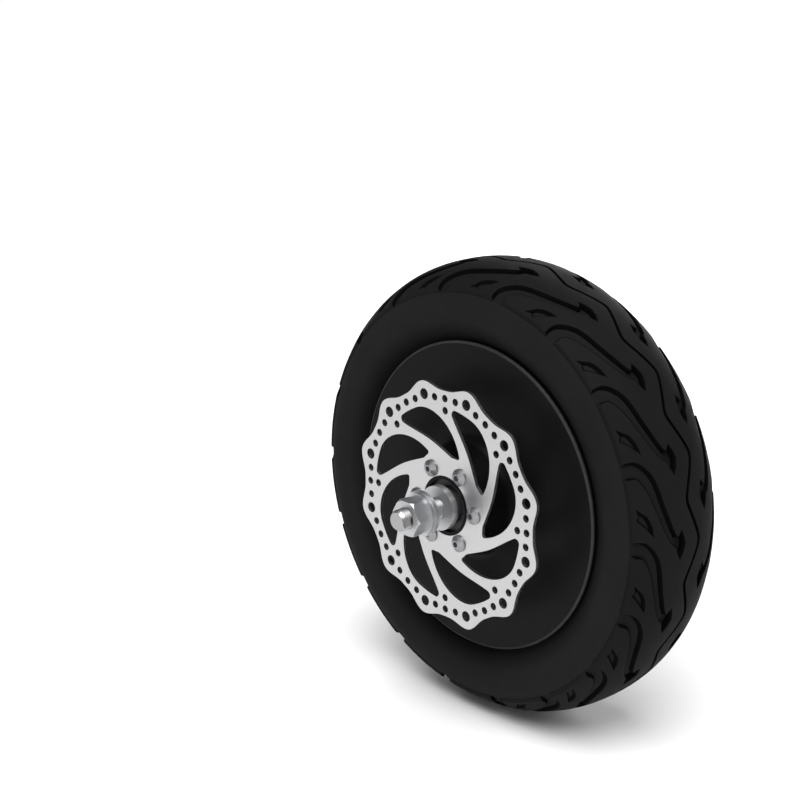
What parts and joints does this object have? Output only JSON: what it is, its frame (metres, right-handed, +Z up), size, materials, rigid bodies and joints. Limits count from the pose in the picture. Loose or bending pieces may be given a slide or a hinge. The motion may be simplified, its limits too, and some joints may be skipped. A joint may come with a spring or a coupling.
{
  "type": "hub motor wheel",
  "caption": "Pneumatic tyred scooter wheel with a direct-drive hub motor, a wave-edge brake rotor and a flatted threaded axle.",
  "frame": {"origin": "wheel centre: on the axle line, midway between the tyre edges and the axle ends", "axes": "+Y along the axle away from the brake rotor, -Y is the brake side, +Z up, +X to the right seen from the brake side"},
  "size_m": [0.2599, 0.176, 0.26],
  "materials": {
    "tyre_rubber": "matt black moulded rubber",
    "hub_paint": "semi-matt black powder coat on cast aluminium",
    "cover_paint": "semi-matt black powder coat on cast aluminium",
    "gasket_fibre": "dark fibre sheet",
    "black_screw": "black oxide steel",
    "rotor_steel": "bright satin stainless steel, brushed along the track",
    "zinc_steel": "bright zinc plated steel",
    "axle_steel": "turned steel",
    "bearing_steel": "ground bearing steel",
    "nylon": "natural nylon",
    "shield_steel": "pressed steel",
    "seal_rubber": "smooth black nitrile rubber",
    "magnet_nickel": "nickel plated magnet",
    "flux_iron": "plain rolled steel",
    "lamination_iron": "stacked electrical steel sheets",
    "insulator": "off-white glass-filled plastic",
    "copper": "varnished copper wire",
    "carrier_aluminium": "as-cast aluminium",
    "circuit_board": "green solder mask",
    "sensor_black": "moulded black resin",
    "valve_brass": "nickel plated brass",
    "cap_plastic": "black moulded plastic"
  },
  "bodies": {
    "axle_set": {"axle": "axle_steel", "stator_carrier": "carrier_aluminium", "stator_key": "axle_steel", "carrier_circlips": "black_screw", "stator_core": "lamination_iron", "slot_insulators": "insulator", "windings": "copper", "hall_board": "circuit_board", "hall_sensors": "sensor_black", "cable_grommet": "seal_rubber", "left_bearing_inner_race": "bearing_steel", "right_bearing_inner_race": "bearing_steel", "left_spacer_sleeve": "axle_steel", "right_spacer_sleeve": "axle_steel", "left_inner_washer": "zinc_steel", "right_inner_washer": "zinc_steel", "left_lock_washer": "zinc_steel", "right_lock_washer": "zinc_steel", "left_axle_nut": "zinc_steel", "right_axle_nut": "zinc_steel"},
    "wheel": {"tyre": "tyre_rubber", "hub_shell": "hub_paint", "side_cover": "cover_paint", "cover_gasket": "gasket_fibre", "cover_screws": "black_screw", "valve_stem": "valve_brass", "valve_nut": "valve_brass", "valve_core": "valve_brass", "valve_cap": "cap_plastic", "brake_rotor": "rotor_steel", "rotor_bolts": "zinc_steel", "flux_ring": "flux_iron", "magnets": "magnet_nickel", "preload_washer": "shield_steel", "left_bearing_outer_race": "bearing_steel", "right_bearing_outer_race": "bearing_steel", "left_bearing_shields": "shield_steel", "right_bearing_shields": "shield_steel", "left_shaft_seal": "seal_rubber", "right_shaft_seal": "seal_rubber"},
    "left_cage_set": {"left_bearing_cage": "nylon", "left_bearing_balls": "bearing_steel"},
    "right_cage_set": {"right_bearing_cage": "nylon", "right_bearing_balls": "bearing_steel"}
  },
  "joints": [
    {"name": "wheel_spin", "type": "hinge", "parent": "axle_set", "child": "wheel", "pos_m": [0, 0, 0], "axis": [0, 1, 0], "continuous": true},
    {"name": "left_cage_spin", "type": "hinge", "parent": "axle_set", "child": "left_cage_set", "pos_m": [0, -0.0355, 0], "axis": [0, 1, 0], "continuous": true},
    {"name": "right_cage_spin", "type": "hinge", "parent": "axle_set", "child": "right_cage_set", "pos_m": [0, 0.0355, 0], "axis": [0, 1, 0], "continuous": true}
  ],
  "couplings": [
    {"joint": "left_cage_spin", "follows": "wheel_spin", "ratio": 0.619},
    {"joint": "right_cage_spin", "follows": "wheel_spin", "ratio": 0.619}
  ]
}
